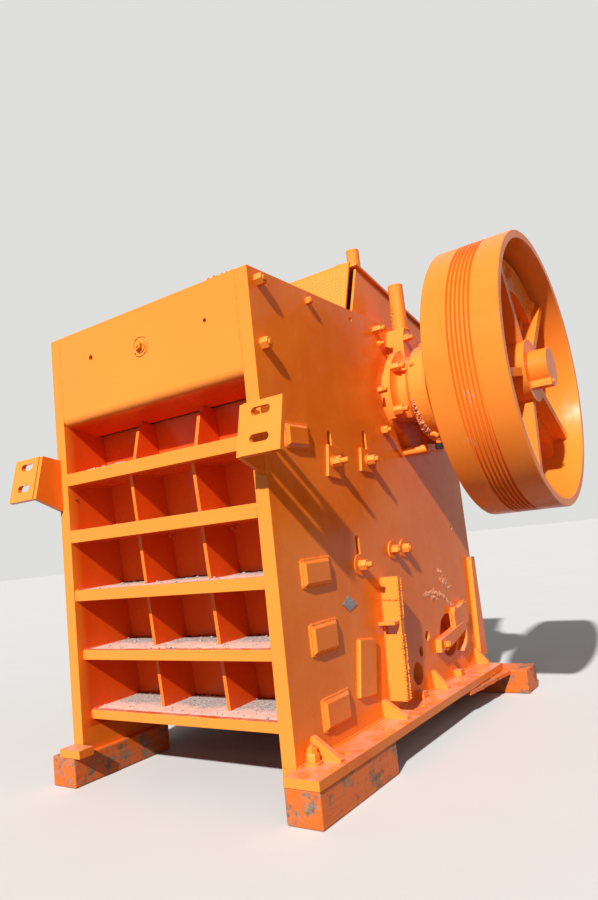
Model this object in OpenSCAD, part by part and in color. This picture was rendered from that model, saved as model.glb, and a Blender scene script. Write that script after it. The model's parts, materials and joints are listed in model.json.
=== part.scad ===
// Jaw crusher, fixed plant, overhead eccentric, single toggle. Millimetres.
// X: the V-belt sheave is on +X. Y: the ribbed front is on -Y. Z: up from the underside of the sleepers.

/* [Frame] */
// height of the side plates above the base flange
plate_height = 2500; // [2350:10:2800]
// height of the side plates above the base flange, at the rear edge
rear_height = 1646; // [1491:5:1791]
// thickness of the side plates
plate_t = 84; // [60:1:110]
// half of the width over the side plates
half_w = 817; // [720:1:950]
// distance of the front edge of the side plates from the middle of the frame
half_d = 1336; // [1290:1:1450]
// height of the sleepers under the flange
sleeper_h = 170; // [150:5:400]
// thickness of the base flange
flange_t = 45; // [25:1:70]
// how far the base flange stands out from the side plates
flange_w = 190; // [160:5:260]
// spacing of the five front ribs
rib_pitch = 354; // [335:1:370]
// height of the lowest front rib above the flange
rib_foot = 130; // [90:5:180]
// thickness of the front wall
wall_t = 90; // [60:5:130]
// lean of the front wall, run per unit of rise
wall_lean = 0.0997; // [0.06:0.0001:0.13]

/* [Shaft] */
// distance of the shaft axis behind the upper edge of the moving jaw
shaft_set = 494; // [460:1:530]
// height of the top edge of the side plates over the shaft axis
shaft_drop = 538; // [490:1:600]
// radius of the shaft in the housings
shaft_r = 150; // [110:1:165]
// radius of the bearing barrels in the side plates
barrel_r = 300; // [270:1:330]
// throw of the eccentric journals
throw_e = 18; // [5:1:24]
// radial clearance of the housings over the shaft
run_gap = 0.1; // [0.02:0.02:0.5]

/* [Wheels] */
// outer radius of both wheels
wheel_r = 868; // [760:1:950]
// width of the rim
rim_w = 452; // [380:1:560]
// thickness of the rim
rim_t = 52; // [36:1:70]
// distance from the side plates to the rims
wheel_gap = 573; // [500:1:650]
// radius of the wheel hubs
hub_r = 200; // [190:1:240]
// number of belt grooves
groove_count = 6; // [3:1:8]
// pitch of the belt grooves
groove_pitch = 25.4; // [20:0.1:38]

/* [Crushing chamber] */
// mouth between the jaw plates at the top
gape = 675; // [600:5:720]
// gap between the jaw plates at the bottom
setting = 40; // [25:1:120]
// thickness of the fixed and the moving jaw plate
die_t = 120; // [80:1:150]
// thickness of the cheek plates
cheek_t = 40; // [25:1:60]
// height of the ridges of the jaw plates
ridge_h = 39; // [20:1:55]
// pitch of the ridges
ridge_pitch = 103; // [80:1:130]
// gap between the moving jaw and the cheek plates
side_gap = 13; // [8:1:20]

/* [Toggle and hood] */
// radius of the toggle seats
seat_r = 62; // [45:1:75]
// distance of the rear toggle seat from the rear edge of the side plates
beam_set = 831; // [781:2:881]
// height of the rear toggle seat above the flange
beam_h = 355; // [330:5:400]
// height of the hood over the side plates
hood_h = 417; // [340:1:480]
// thickness of the hood plates
hood_t = 18; // [8:1:25]
// clearance between sloping faces that are welded or bolted together
fit = 0.2; // [0.1:0.1:0.5]

/* [Hidden] */
z0 = sleeper_h + flange_t;        // underside of the side plates
ztop = z0 + plate_height;         // top of the side plates
yf = -half_d;                     // front edge of the side plates
yr = half_d - 75;                 // rear edge of the side plates
inner = half_w - plate_t;         // inner faces of the side plates
sz = ztop - shaft_drop;           // height of the shaft axis
rim_in = half_w + wheel_gap;
rim_out = rim_in + rim_w;
rim_mid = rim_in + rim_w / 2;
bore_r = wheel_r - rim_t;         // inside of the rim at its edges
journal_r = shaft_r + throw_e + 4;
hub_bore = shaft_r - 26;          // radius of the shaft in the hubs
reach = half_d + 199;             // brackets in front and tension rod behind
jaw_top = sz + barrel_r + 43;     // the jaw plates reach over the eye of the pitman
jaw_foot = z0 + 215;
jaw_half = inner - cheek_t - side_gap;
die_back = wall_t + die_t;
seat_z = jaw_foot + 80;
beam_y = yr - beam_set;
beam_z = z0 + beam_h;
rod_z = z0 + 125;
flange_end = half_d - 216;
bolt_rows = [yf + 276, yf + 696, -150, half_d - 776, half_d - 486];
rear_y = yr - 126;
rear_t = 70;
guard_top = ztop + hood_h + 40;
guard_t = 15;
pipe_z = sz + barrel_r + 196;     // foot of the upright pipes
paint = [0.93, 0.42, 0.10];
steel = [0.45, 0.42, 0.40];
wood = [0.45, 0.33, 0.22];

// front face of the front wall, front face of the moving jaw, sloping rear edge of the side plates
function wall_y(z) = yf + 456 - wall_lean * (z - z0 - 347);
jaw_y_top = wall_y(jaw_top) + die_back + gape;
jaw_y_foot = wall_y(jaw_foot) + die_back + setting;
sy = jaw_y_top + shaft_set;       // depth position of the shaft axis
edge_y = sy + 256;                // where the top edge starts to slope down to the rear
hood_rear = sy + 797;
function jaw_y(z) = jaw_y_foot + (jaw_y_top - jaw_y_foot) * (z - jaw_foot) / (jaw_top - jaw_foot);
function edge_z(y) = ztop - (y - edge_y) * (plate_height - rear_height) / (yr - edge_y);
foot_y = jaw_y_foot + die_t;
seat_y = jaw_y(seat_z) + die_t + 218;

// ribs from the top: height, thickness, set-back of the front edge
function rib_z(i) = z0 + rib_foot + rib_pitch * (4 - i);
rib_t = [76, 76, 64, 58, 54];
rib_set = [0, 0, 9, 44, 79];
lip_z = rib_z(0) + rib_t[0] + 256;

module along_x(x0, x1) translate([x0, 0, 0]) rotate([90, 0, 90]) linear_extrude(x1 - x0) children();
module disc(x0, x1, r, y, z, n = 48)
  translate([x0, y, z]) rotate([0, 90, 0]) cylinder(h = x1 - x0, r = r, $fn = n);
module along_y(y0, y1, r, z, n)
  translate([0, y0, z]) rotate([-90, 0, 0]) cylinder(h = y1 - y0, r = r, $fn = n);
module box(x0, x1, y0, y1, a, b) translate([x0, y0, a]) cube([x1 - x0, y1 - y0, b - a]);
module flip() mirror([1, 0, 0]) children();

module side_plate() {
  difference() {
    along_x(inner, half_w)
      polygon([[yf, z0], [yf, ztop], [edge_y, ztop], [yr, z0 + rear_height], [yr, z0]]);
    disc(inner - 5, half_w + 5, barrel_r, sy, sz, 64);
    plate_hole(beam_y + 206, beam_z - 65, 148, 48);
    plate_hole(beam_y - 150, beam_z - 14, 31, 24);
    plate_hole(beam_y - 271, beam_z - 93, 31, 24);
    plate_hole(75, z0 + 139, 70, 32);
    plate_hole(-270, ztop - 63, 14, 16);
    plate_hole(half_d - 384, z0 + 1040, 14, 16);
    // slots of the cheek plate bolts: depth, lower and upper centre
    for (s = [[-702, rib_z(0) + 24, rib_z(0) + 98], [-278, rib_z(0) + 48, rib_z(0) + 134],
              [-515, rib_z(2) + 120, rib_z(2) + 196]]) {
      box(inner - 5, half_w + 5, s[0] - slot_r, s[0] + slot_r, s[1], s[2]);
      plate_hole(s[0], s[1], slot_r, 24);
      plate_hole(s[0], s[2], slot_r, 24);
    }
  }
  tenon(0, 186, 215, -3, 129);
  tenon(2, 206, 265, 22, 140);
  tenon(3, 226, 252, 12, 153);
  tenon(4, 266, 258, 37, 154);
  along_x(half_w - 1, half_w + 22)
    polygon([[-712, rib_z(3) - 309], [-645, rib_z(3) - 9], [-465, rib_z(3) - 34], [-532, rib_z(3) - 329]]);
}
slot_r = 21;
module plate_hole(y, z, r, n) disc(inner - 5, half_w + 5, r, y, z, n);
// welded-up end of a front rib: rib, distance from the front edge, width, drop below the rib, height
module tenon(i, d, w, drop, h) {
  y = yf + d;
  z = rib_z(i) - drop;
  hull() {
    box(half_w - 1, half_w + 6, y, y + w, z, z + h);
    box(half_w - 1, half_w + 24, y + 22, y + w - 22, z + 20, z + h - 20);
  }
}
module side_plate_right() color(paint) side_plate();
module side_plate_left() color(paint) flip() side_plate();

// base flange: front end of its outer part, and its toe in front of the side plate
module base_flange(front, toe_in, toe_out) {
  difference() {
    union() {
      box(inner, half_w, yf, flange_end, sleeper_h, z0);
      box(half_w - 1, half_w + flange_w, front, flange_end, sleeper_h, z0);
      box(toe_in, toe_out, yf - 100, yf + 1, sleeper_h, z0);
    }
    for (y = bolt_rows)
      translate([half_w + 110, y, sleeper_h - 5]) cylinder(h = flange_t + 10, r = 20, $fn = 20);
  }
  flange_gusset(yf + 141, flange_w - 30, 110);
  flange_gusset(-445, flange_w - 40, 100);
  flange_gusset(sy - 24, flange_w - 90, 114);
  flange_gusset(half_d - 252, flange_w - 95, 108);
  for (y = [0, 640])
    box(half_w, half_w + 55, y, y + 60, z0 - 1, z0 + 42);
}
module flange_gusset(y, w, h)
  translate([0, y + 32, 0]) rotate([90, 0, 0]) linear_extrude(32)
    polygon([[half_w, z0 - 1], [half_w + w, z0 - 1], [half_w + w, z0 + 12], [half_w + 14, z0 + h],
             [half_w, z0 + h]]);
module base_flange_right() color(paint) base_flange(yf - 100, half_w - 11, half_w + flange_w);
module base_flange_left() color(paint) flip() base_flange(yf + 141, inner - 93, half_w);

module front_wall() color(paint)
  along_x(-inner, inner)
    polygon([[wall_y(rib_z(4)), rib_z(4)], [wall_y(ztop - 45), ztop - 45],
             [wall_y(ztop - 45) + wall_t, ztop - 45], [wall_y(rib_z(4)) + wall_t, rib_z(4)]]);

module rib(i) color(paint)
  along_x(-inner, inner)
    polygon([[yf + rib_set[i], rib_z(i)], [yf + rib_set[i], rib_z(i) + rib_t[i]],
             [wall_y(rib_z(i) + rib_t[i]) - fit, rib_z(i) + rib_t[i]], [wall_y(rib_z(i)) - fit, rib_z(i)]]);
module front_rib_1() rib(0);
module front_rib_2() rib(1);
module front_rib_3() rib(2);
module front_rib_4() rib(3);
module front_rib_5() rib(4);

function gusset_y(z) = yf + 103 + 0.0902 * (z0 + 1339 - z);
module rib_gussets() color(paint)
  for (x = [-251, 251]) {
    for (i = [1:4]) {
      a = rib_z(i) + rib_t[i];
      b = rib_z(i - 1);
      along_x(x - 12, x + 12)
        polygon([[gusset_y(a), a], [gusset_y(b), b], [wall_y(b) - fit, b], [wall_y(a) - fit, a]]);
    }
    a = rib_z(0) + rib_t[0];
    along_x(x - 12, x + 12)
      polygon([[yf + 114, a], [yf + 168, lip_z - 47], [yf + 216, lip_z], [wall_y(lip_z) - fit, lip_z],
               [wall_y(a) - fit, a]]);
  }

module top_front_plate() color(paint)
  difference() {
    along_x(-inner, inner)
      polygon([[yf, ztop], [yf, lip_z + 96], [yf + 4, lip_z + 74], [yf + 15, lip_z + 57],
               [yf + 32, lip_z + 46], [yf + 54, lip_z + 41], [yf + 258, lip_z], [yf + 264, lip_z + 38],
               [yf + 58, lip_z + 81], [yf + 46, lip_z + 85], [yf + 40, lip_z + 96], [yf + 40, ztop]]);
    for (p = [[-438, ztop - 194, 17], [501, ztop - 216, 12]])
      translate([p[0], yf - 5, p[1]]) rotate([-90, 0, 0]) cylinder(h = 60, r = p[2], $fn = 20);
  }

ridge_half = ridge_pitch / 4;     // half of the width of a ridge
module fixed_jaw_plate() color(steel) {
  half = inner - cheek_t - 6;
  n = floor((half - ridge_half) / ridge_pitch);
  fixed_slab(-half, half, fit, die_t - ridge_h);
  for (k = [-n:n])
    fixed_slab(k * ridge_pitch - ridge_half, k * ridge_pitch + ridge_half, die_t - ridge_h - 1, die_t);
}
module fixed_slab(x0, x1, t0, t1)
  along_x(x0, x1)
    polygon([[wall_y(jaw_foot) + wall_t + t0, jaw_foot], [wall_y(jaw_top) + wall_t + t0, jaw_top],
             [wall_y(jaw_top) + wall_t + t1, jaw_top], [wall_y(jaw_foot) + wall_t + t1, jaw_foot]]);

module cheek_plate() color(steel) {
  a = jaw_foot + 240;
  b = jaw_top - 10;
  along_x(inner - cheek_t, inner)
    polygon([[wall_y(a) + die_back + 5, a], [wall_y(b) + die_back + 5, b], [jaw_y(b) - 68, b],
             [jaw_y(a) - 18, a]]);
}
module cheek_plate_right() cheek_plate();
module cheek_plate_left() flip() cheek_plate();

// neck, flange ring, waisted barrel and cover: distance from the side plate, radius over barrel_r
housing_profile = [[0, -38], [60, -38], [60, 40], [106, 40], [110, 18], [126, -14], [150, -32],
  [182, -32], [206, -14], [225, 22], [232, 30], [330, 30], [345, 18], [351, 2]];
saddle_z = sz - shaft_r - 20;     // top of the recess under the barrel
module bearing_housing() color(paint)
  difference() {
    union() {
      disc(inner, half_w, barrel_r, sy, sz, 64);
      difference() {
        translate([half_w - 1, sy, sz]) rotate([0, 90, 0]) rotate_extrude($fn = 64)
          polygon(concat([[100, 0]], [for (p = housing_profile) [barrel_r + p[1], p[0]]], [[100, 351]]));
        box(half_w + 45, half_w + 222, sy - barrel_r - 50, sy + 376, sz - barrel_r - 50, saddle_z);
      }
      // lug on top that carries the pipe
      along_x(half_w, half_w + 130)
        polygon([[sy - 96, sz + barrel_r - 50], [sy - 90, sz + barrel_r + 90], [sy - 60, pipe_z - 24],
                 [sy - 44, pipe_z], [sy + 84, pipe_z], [sy + 200, pipe_z - 70],
                 [sy + 200, sz + barrel_r - 70]]);
      // saddle below: web on the side plate, shelf and rear web
      along_x(half_w, half_w + 45)
        polygon([[sy - 142, sz - 134], [sy + 34, sz - 364], [sy + 34, sz - 380], [sy + 416, sz - 354],
                 [sy + 416, sz - 40], [sy, sz - 20]]);
      along_x(half_w, half_w + 150)
        polygon([[sy + 16, sz - 341], [sy + 34, sz - 364], [sy + 34, sz - 380], [sy + 416, sz - 354],
                 [sy + 416, sz - 100], [sy + 250, sz - 100], [sy + 376, saddle_z - 20], [sy + 376, sz - 312],
                 [sy + 24, sz - 334]]);
    }
    disc(inner - 5, half_w + 400, shaft_r + run_gap, sy, sz, 64);
  }
module bearing_housing_right() bearing_housing();
module bearing_housing_left() flip() bearing_housing();

module pitman() color(paint)
  difference() {
    union() {
      disc(-inner + hood_t + 4, inner - hood_t - 4, barrel_r + 30, sy, sz, 64);
      along_x(-jaw_half, jaw_half)
        polygon([[jaw_y(jaw_top - 90) + die_t, jaw_top - 90], [sy - 60, sz + barrel_r],
                 [sy + 280, sz - 100], [sy - 20, jaw_foot + 940], [foot_y + 166, jaw_foot + 140],
                 [foot_y + 206, jaw_foot], [foot_y, jaw_foot]]);
    }
    disc(-inner, inner, journal_r + throw_e + 10, sy, sz, 64);
    disc(-jaw_half - 5, jaw_half + 5, seat_r, seat_y, seat_z, 32);
    // pockets open to the rear, between the webs of the casting
    web = 46;
    w = (2 * jaw_half - 5 * web) / 4;
    for (k = [0:3])
      along_x(-jaw_half + web + k * (w + web), -jaw_half + (k + 1) * (w + web))
        polygon([[jaw_y(jaw_foot + 340) + die_t + 90, jaw_foot + 340],
                 [jaw_y(jaw_foot + 1000) + die_t + 90, jaw_foot + 1000],
                 [sy + 400, jaw_foot + 1100], [sy + 400, jaw_foot + 340]]);
  }

module moving_jaw_plate() color(steel) {
  n = floor((jaw_half - ridge_half) / ridge_pitch - 0.5);
  moving_slab(-jaw_half, jaw_half, ridge_h - 1, die_t - fit);
  for (k = [-n - 1:n])
    moving_slab((k + 0.5) * ridge_pitch - ridge_half, (k + 0.5) * ridge_pitch + ridge_half, 0, ridge_h);
}
module moving_slab(x0, x1, t0, t1)
  along_x(x0, x1)
    polygon([[jaw_y(jaw_foot + 10) + t1, jaw_foot + 10], [jaw_y(jaw_top - 10) + t1, jaw_top - 10],
             [jaw_y(jaw_top - 10) + t0, jaw_top - 10], [jaw_y(jaw_foot + 10) + t0, jaw_foot + 10]]);

// guard over the pitman, leaning from behind the moving jaw up to the hood
guard_foot = jaw_top + 50;
function guard_y(z) = jaw_y_top + 15 + (sy - 272 - jaw_y_top) * (z - guard_foot) / (guard_top - guard_foot);
module pitman_guard() color(paint)
  along_x(-inner + hood_t + guard_t, inner - hood_t - guard_t)
    polygon([[guard_y(guard_foot) - guard_t, guard_foot], [guard_y(guard_top) - guard_t, guard_top + 4],
             [guard_y(guard_top), guard_top], [guard_y(guard_foot), guard_foot - 4]]);

function hood_z(y) = ztop + hood_h - 0.22 * (y - sy + 264);
module hood_side() color(paint)
  along_x(inner - hood_t, inner)
    polygon([[sy - 404, ztop - 245], [sy - 404, ztop + 15], [sy - 366, ztop + 90],
             [sy - 242, hood_z(sy - 242)], [hood_rear, hood_z(hood_rear)],
             [hood_rear, edge_z(hood_rear) + 94],
             [edge_y + 240, edge_z(edge_y + 240) - 130], [edge_y + 160, ztop - 245]]);
module hood_side_right() hood_side();
module hood_side_left() flip() hood_side();
module hood_top() color(paint) {
  front = guard_y(ztop + hood_h + 2) + fit;
  rear = hood_rear + 20;
  along_x(-inner - 18, inner + 18)
    polygon([[front, hood_z(front)], [front + 8, hood_z(front) + 20], [rear + 4, hood_z(rear) + 21],
             [rear, hood_z(rear)]]);
}
module hood_back() color(paint)
  box(-inner + hood_t, inner - hood_t, hood_rear - 14, hood_rear,
      edge_z(hood_rear) + 104, hood_z(hood_rear));

module lifting_bosses() color(paint)
  difference() {
    union() {
      for (s = [-1, 1])
        translate([s * (inner - 33), sy - 204, ztop + hood_h - 12]) cylinder(h = 152, r = 46, $fn = 32);
      translate([inner - 143, sy - 214, ztop + hood_h - 12]) cylinder(h = 74, r = 34, $fn = 20);
    }
    along_x(-inner - 30, inner + 30)
      polygon([[sy - 404, ztop], [sy - 404, hood_z(sy - 404) + 22], [sy, hood_z(sy) + 22], [sy, ztop]]);
  }

module housing_pipe() color(paint)
  difference() {
    translate([half_w + 75, sy + 20, pipe_z]) cylinder(h = 337, r = 53, $fn = 32);
    translate([half_w + 75, sy + 20, pipe_z + 10]) cylinder(h = 340, r = 46, $fn = 32);
  }
module housing_pipe_right() housing_pipe();
module housing_pipe_left() flip() housing_pipe();

module eccentric_shaft() color(steel)
  difference() {
    union() {
      disc(-rim_in - 90, rim_in + 90, shaft_r, sy, sz, 64);
      disc(-rim_out - 30, rim_out + 30, hub_bore, sy, sz, 64);
      translate([0, 0, throw_e]) disc(-inner + 173, inner - 173, journal_r, sy, sz, 64);
    }
    key_box(rim_out + 40);
    flip() key_box(rim_out + 40);
  }
module key_box(x1)
  box(rim_out - 240, x1, sy - hub_bore + 18, sy - hub_bore + 72, sz - hub_bore - 4, sz - hub_bore + 40);

module wheel(grooved) color(paint)
  difference() {
    union() {
      translate([0, sy, sz]) rotate([0, 90, 0]) rotate_extrude($fn = 96) wheel_section(grooved);
      disc(rim_in + 90, rim_out - 82, hub_r, sy, sz, 48);
      for (k = [0:4]) spoke(-27 + 72 * k);
      // balance segment between two spokes: web and weight
      segment(bore_r - 316, bore_r + 4, 40, 118, rim_mid - 31, rim_mid + 9);
      segment(bore_r - 276, bore_r - 74, 46, 104, rim_mid - 31, rim_mid + 84);
    }
    disc(rim_in - 5, rim_out + 5, hub_bore, sy, sz, 64);
    key_box(rim_out + 40);
  }
module wheel_section(grooved) {
  g = groove_pitch;
  last = groove_count - 1;
  cuts = [[-0.43 * g, 0], [-0.24 * g, -20], [0.24 * g, -20], [0.43 * g, 0]];
  pts = grooved ? [for (k = [0:last], p = cuts) [wheel_r + p[1], rim_mid + (k - last / 2) * g + p[0]]] : [];
  polygon(concat([[bore_r, rim_in], [wheel_r - 4, rim_in], [wheel_r, rim_in + 4]], pts,
                 [[wheel_r, rim_out - 4], [wheel_r - 4, rim_out], [bore_r + 4, rim_out],
                  [bore_r, rim_out - 8], [bore_r - 14, rim_out - 130], [bore_r - 14, rim_in + 130]]));
}
module spoke(a) translate([0, sy, sz]) rotate([a, 0, 0]) {
  tip = bore_r - 4;
  along_x(rim_mid - 51, rim_mid + 39)
    polygon([[shaft_r, -100], [bore_r / 2, -82], [tip - 112, -105], [tip, -190],
             [tip, 190], [tip - 112, 105], [bore_r / 2, 82], [shaft_r, 100]]);
  along_x(rim_in + 110, rim_out - 100)
    polygon([[shaft_r, -26], [tip, -26], [tip, 26], [shaft_r, 26]]);
}
module segment(r0, r1, a0, a1, x0, x1)
  translate([x0, sy, sz]) rotate([a0, 0, 0]) rotate([90, 0, 90]) rotate_extrude(angle = a1 - a0, $fn = 72)
    translate([r0, 0]) square([r1 - r0, x1 - x0]);
module drive_sheave() wheel(true);
module flywheel() flip() wheel(false);

module shaft_keys() color(steel) {
  key_box(rim_out + 24);
  flip() key_box(rim_out + 24);
}

toggle_half = jaw_half - 40;
module toggle_plate() color(steel) {
  disc(-toggle_half, toggle_half, seat_r - 0.2, seat_y, seat_z, 32);
  disc(-toggle_half, toggle_half, seat_r - 0.2, beam_y, beam_z, 32);
  along_x(-toggle_half, toggle_half)
    polygon([[seat_y, seat_z - 28], [beam_y, beam_z - 28], [beam_y, beam_z + 28], [seat_y, seat_z + 28]]);
}
beam_d = 470;                     // depth of the beam behind its seat
module toggle_beam() color(steel)
  difference() {
    box(-inner, inner, beam_y - 30, beam_y + beam_d, beam_z - 120, beam_z + 115);
    disc(-inner - 5, inner + 5, seat_r, beam_y, beam_z, 32);
    box(-inner - 5, inner + 5, beam_y - 130, beam_y, beam_z - seat_r, beam_z + seat_r);
  }
module rear_wall() color(paint)
  difference() {
    union() {
      box(-inner, inner, rear_y, rear_y + rear_t, z0, z0 + rear_height - 241);
      for (k = [0:2]) {
        z = z0 + 355 + k * (rear_height - 746) / 2;
        box(-inner, inner, rear_y, yr, z, z + 50);
      }
      for (x = [-420, 420]) box(x - 20, x + 20, rear_y, yr - 10, z0 + 155, z0 + rear_height - 341);
      box(-inner, inner, beam_y + beam_d, rear_y + 1, beam_z - 100, beam_z + 100);
    }
    along_y(rear_y - 50, yr + 50, 60, rod_z, 32);
  }
washer_y = reach - 85;
module tension_rod() color(steel) {
  along_y(foot_y + 151, reach, 34, rod_z, 24);
  along_y(washer_y + 20, reach - 10, 62, rod_z, 6);
  along_y(washer_y, washer_y + 21, 95, rod_z, 32);
  box(-36, 36, foot_y + 96, foot_y + 201, rod_z - 45, jaw_foot);
}
coil_r = 13.8;
module tension_spring() color(steel) {
  start = rear_y + rear_t + coil_r;
  for (k = [0:8])
    translate([0, start + k * (washer_y - coil_r - start) / 8, rod_z]) rotate([-90, 0, 0])
      rotate_extrude($fn = 32) translate([74, 0]) circle(r = coil_r, $fn = 16);
}

module slotted_bracket() color(paint)
  difference() {
    union() {
      along_x(half_w - 30, half_w)
        polygon([[yf, z0 + 1718], [yf, z0 + 1396], [yf - 192, z0 + 1478], [yf - 127, z0 + 1742]]);
      along_x(half_w - 1, half_w + 235)
        polygon([[yf - 134, z0 + 1744], [yf - 107, z0 + 1737], [yf - 172, z0 + 1472], [-reach, z0 + 1479]]);
    }
    for (h = [z0 + 1556, z0 + 1691]) {
      box(half_w + 70, half_w + 144, yf - 264, yf - 64, h - slot_r, h + slot_r);
      for (x = [70, 144]) translate([half_w + x, 0, 0]) along_y(yf - 264, yf - 64, slot_r, h, 24);
    }
  }
module slotted_bracket_right() slotted_bracket();
module slotted_bracket_left() flip() slotted_bracket();

// the bar leans forward towards its foot, with a small shelf over the gap in it
function bar_y(z) = -345 + 55 * (z - z0 - 72) / 715;
module stiffener_bar() color(paint)
  difference() {
    union() {
      along_x(half_w, half_w + 115)
        polygon([[bar_y(z0 + 72), z0 + 72], [bar_y(z0 + 72) + 44, z0 + 72], [bar_y(z0 + 787) + 44, z0 + 787],
                 [bar_y(z0 + 787), z0 + 787]]);
      box(half_w, half_w + 108, -380, -280, z0 + 513, z0 + 531);
    }
    box(half_w - 5, half_w + 84, -340, -240, z0 + 449, z0 + 511);
  }
module stiffener_bars() {
  stiffener_bar();
  flip() stiffener_bar();
}

module rear_edge_bar() color(paint)
  along_x(half_w, half_w + 36)
    polygon([[yr - 74, z0 + 796], [yr, z0 + 796], [yr, z0 + 45], [yr - 142, z0 + 45]]);
module rear_edge_bars() {
  rear_edge_bar();
  flip() rear_edge_bar();
}

// clamp bar of the toggle beam, ending in a hook, with the ragged lug above
module toggle_clamp() color(paint)
  translate([0, beam_y, beam_z]) {
    along_x(half_w, half_w + 45)
      polygon([[-36, -63], [331, -14], [410, -10], [455, -28], [475, -80], [470, -140], [432, -176],
               [352, -204], [358, -190], [412, -156], [436, -116], [434, -62], [328, -90], [127, -135],
               [-46, -144]]);
    along_x(half_w, half_w + 40)
      polygon([[262, -30], [258, 70], [292, 116], [380, 104], [487, 141], [546, 97], [526, -20], [440, -40]]);
  }
module toggle_clamp_right() toggle_clamp();
module toggle_clamp_left() flip() toggle_clamp();

module sleeper(x0, x1, y0, y1) color(wood) box(x0, x1, y0, y1, 0, sleeper_h);
module sleeper_front_right() sleeper(half_w - 17, half_w + flange_w - 7, yf - 94, yf + 666);
module sleeper_front_left() flip() sleeper(inner - 33, half_w + 83, yf - 94, yf + 666);
module sleeper_rear() sleeper(-half_w - 373, half_w + 373, flange_end - 30, flange_end + 210);

side_plate_right();
side_plate_left();
base_flange_right();
base_flange_left();
front_wall();
front_rib_1();
front_rib_2();
front_rib_3();
front_rib_4();
front_rib_5();
rib_gussets();
top_front_plate();
fixed_jaw_plate();
cheek_plate_right();
cheek_plate_left();
bearing_housing_right();
bearing_housing_left();
pitman();
moving_jaw_plate();
pitman_guard();
hood_side_right();
hood_side_left();
hood_top();
hood_back();
lifting_bosses();
housing_pipe_right();
housing_pipe_left();
eccentric_shaft();
drive_sheave();
flywheel();
shaft_keys();
toggle_plate();
toggle_beam();
tension_rod();
tension_spring();
rear_wall();
slotted_bracket_right();
slotted_bracket_left();
stiffener_bars();
rear_edge_bars();
toggle_clamp_right();
toggle_clamp_left();
sleeper_front_right();
sleeper_front_left();
sleeper_rear();
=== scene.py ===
# Jaw crusher in orange enamel, standing on timber sleepers.
# All is built in millimetres, in the frame of the CAD model: +X sheave side, -Y ribbed front, +Z up.
import json
import math
import random

import bmesh
import bpy
from mathutils import Matrix, Vector, noise

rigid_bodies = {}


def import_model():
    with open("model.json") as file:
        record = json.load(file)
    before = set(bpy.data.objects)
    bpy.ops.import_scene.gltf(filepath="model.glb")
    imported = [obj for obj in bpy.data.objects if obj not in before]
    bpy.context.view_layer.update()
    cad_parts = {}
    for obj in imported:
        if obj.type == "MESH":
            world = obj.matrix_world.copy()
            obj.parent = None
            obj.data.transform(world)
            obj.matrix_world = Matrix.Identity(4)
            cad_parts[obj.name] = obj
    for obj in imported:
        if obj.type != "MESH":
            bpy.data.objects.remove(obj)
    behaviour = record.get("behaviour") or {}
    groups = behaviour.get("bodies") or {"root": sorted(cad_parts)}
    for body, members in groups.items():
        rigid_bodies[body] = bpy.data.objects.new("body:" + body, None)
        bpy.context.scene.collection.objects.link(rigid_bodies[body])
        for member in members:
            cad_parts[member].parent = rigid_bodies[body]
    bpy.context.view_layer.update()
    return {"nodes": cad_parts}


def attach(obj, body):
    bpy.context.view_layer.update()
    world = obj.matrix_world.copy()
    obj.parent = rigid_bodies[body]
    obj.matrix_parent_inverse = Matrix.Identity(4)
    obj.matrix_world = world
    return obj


for spare in list(bpy.data.objects):
    bpy.data.objects.remove(spare)
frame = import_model()
cad = frame["nodes"]
print("frame loaded:", len(cad), "nodes")


# Materials: the sizes and depths of their patterns are in millimetres, and object coordinates in metres

def linear(hexColour):
    channels = [int(hexColour[i:i + 2], 16) / 255 for i in (1, 3, 5)]
    return [c / 12.92 if c < 0.04045 else ((c + 0.055) / 1.055) ** 2.4 for c in channels] + [1.0]


def addNode(tree, kind, settings=None, links=None, **options):
    node = tree.nodes.new("ShaderNode" + kind)
    for key, value in options.items():
        setattr(node, key, value)
    for socket, value in (settings or {}).items():
        node.inputs[socket].default_value = value
    for socket, source in (links or {}).items():
        tree.links.new(source, node.inputs[socket])
    return node


def startMaterial(name):
    material = bpy.data.materials.new(name)
    material.use_nodes = True
    tree = material.node_tree
    tree.nodes.clear()
    place = addNode(tree, "TexCoord").outputs["Object"]
    return material, tree, place


def pattern(tree, place, size, detail=3.0, roughness=0.55, edges=None, values=(0.0, 1.0), stretch=None,
            distortion=0.0):
    # blotches, the widest of them as wide as size; with edges, the values run between those two levels
    if stretch:
        place = addNode(tree, "Mapping", {"Scale": stretch}, {"Vector": place}).outputs[0]
    level = addNode(tree, "TexNoise", {"Scale": 1000 / size, "Detail": detail, "Roughness": roughness,
                                       "Distortion": distortion}, {"Vector": place}).outputs[0]
    if edges:
        level = addNode(tree, "MapRange", {"From Min": edges[0], "From Max": edges[1], "To Min": values[0],
                                           "To Max": values[1]}, {"Value": level}).outputs[0]
    return level


def layOver(tree, under, over, mask, strength=1.0):
    # over hides under where the mask is 1; each of the two is a hex colour or the output of a node
    cover = addNode(tree, "Math", {1: strength}, {0: mask}, operation="MULTIPLY").outputs[0]
    settings = {}
    links = {0: cover}
    for slot, colour in ((6, under), (7, over)):
        if isinstance(colour, str):
            settings[slot] = linear(colour)
        else:
            links[slot] = colour
    return addNode(tree, "Mix", settings, links, data_type="RGBA").outputs[2]


def heights(tree, layers):
    # each layer is the output of a pattern and its depth
    normal = None
    for height, depth in layers:
        links = {"Height": height}
        if normal:
            links["Normal"] = normal
        normal = addNode(tree, "Bump", {"Strength": 1.0, "Distance": depth / 1000}, links).outputs[0]
    return normal


def finishMaterial(material, tree, colour, roughness, normal, **sockets):
    settings = {key.replace("_", " "): value for key, value in sockets.items()}
    links = {"Base Color": colour, "Roughness": roughness}
    if normal:
        links["Normal"] = normal
    shader = addNode(tree, "BsdfPrincipled", settings, links)
    addNode(tree, "OutputMaterial", None, {"Surface": shader.outputs[0]})
    return material


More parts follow.
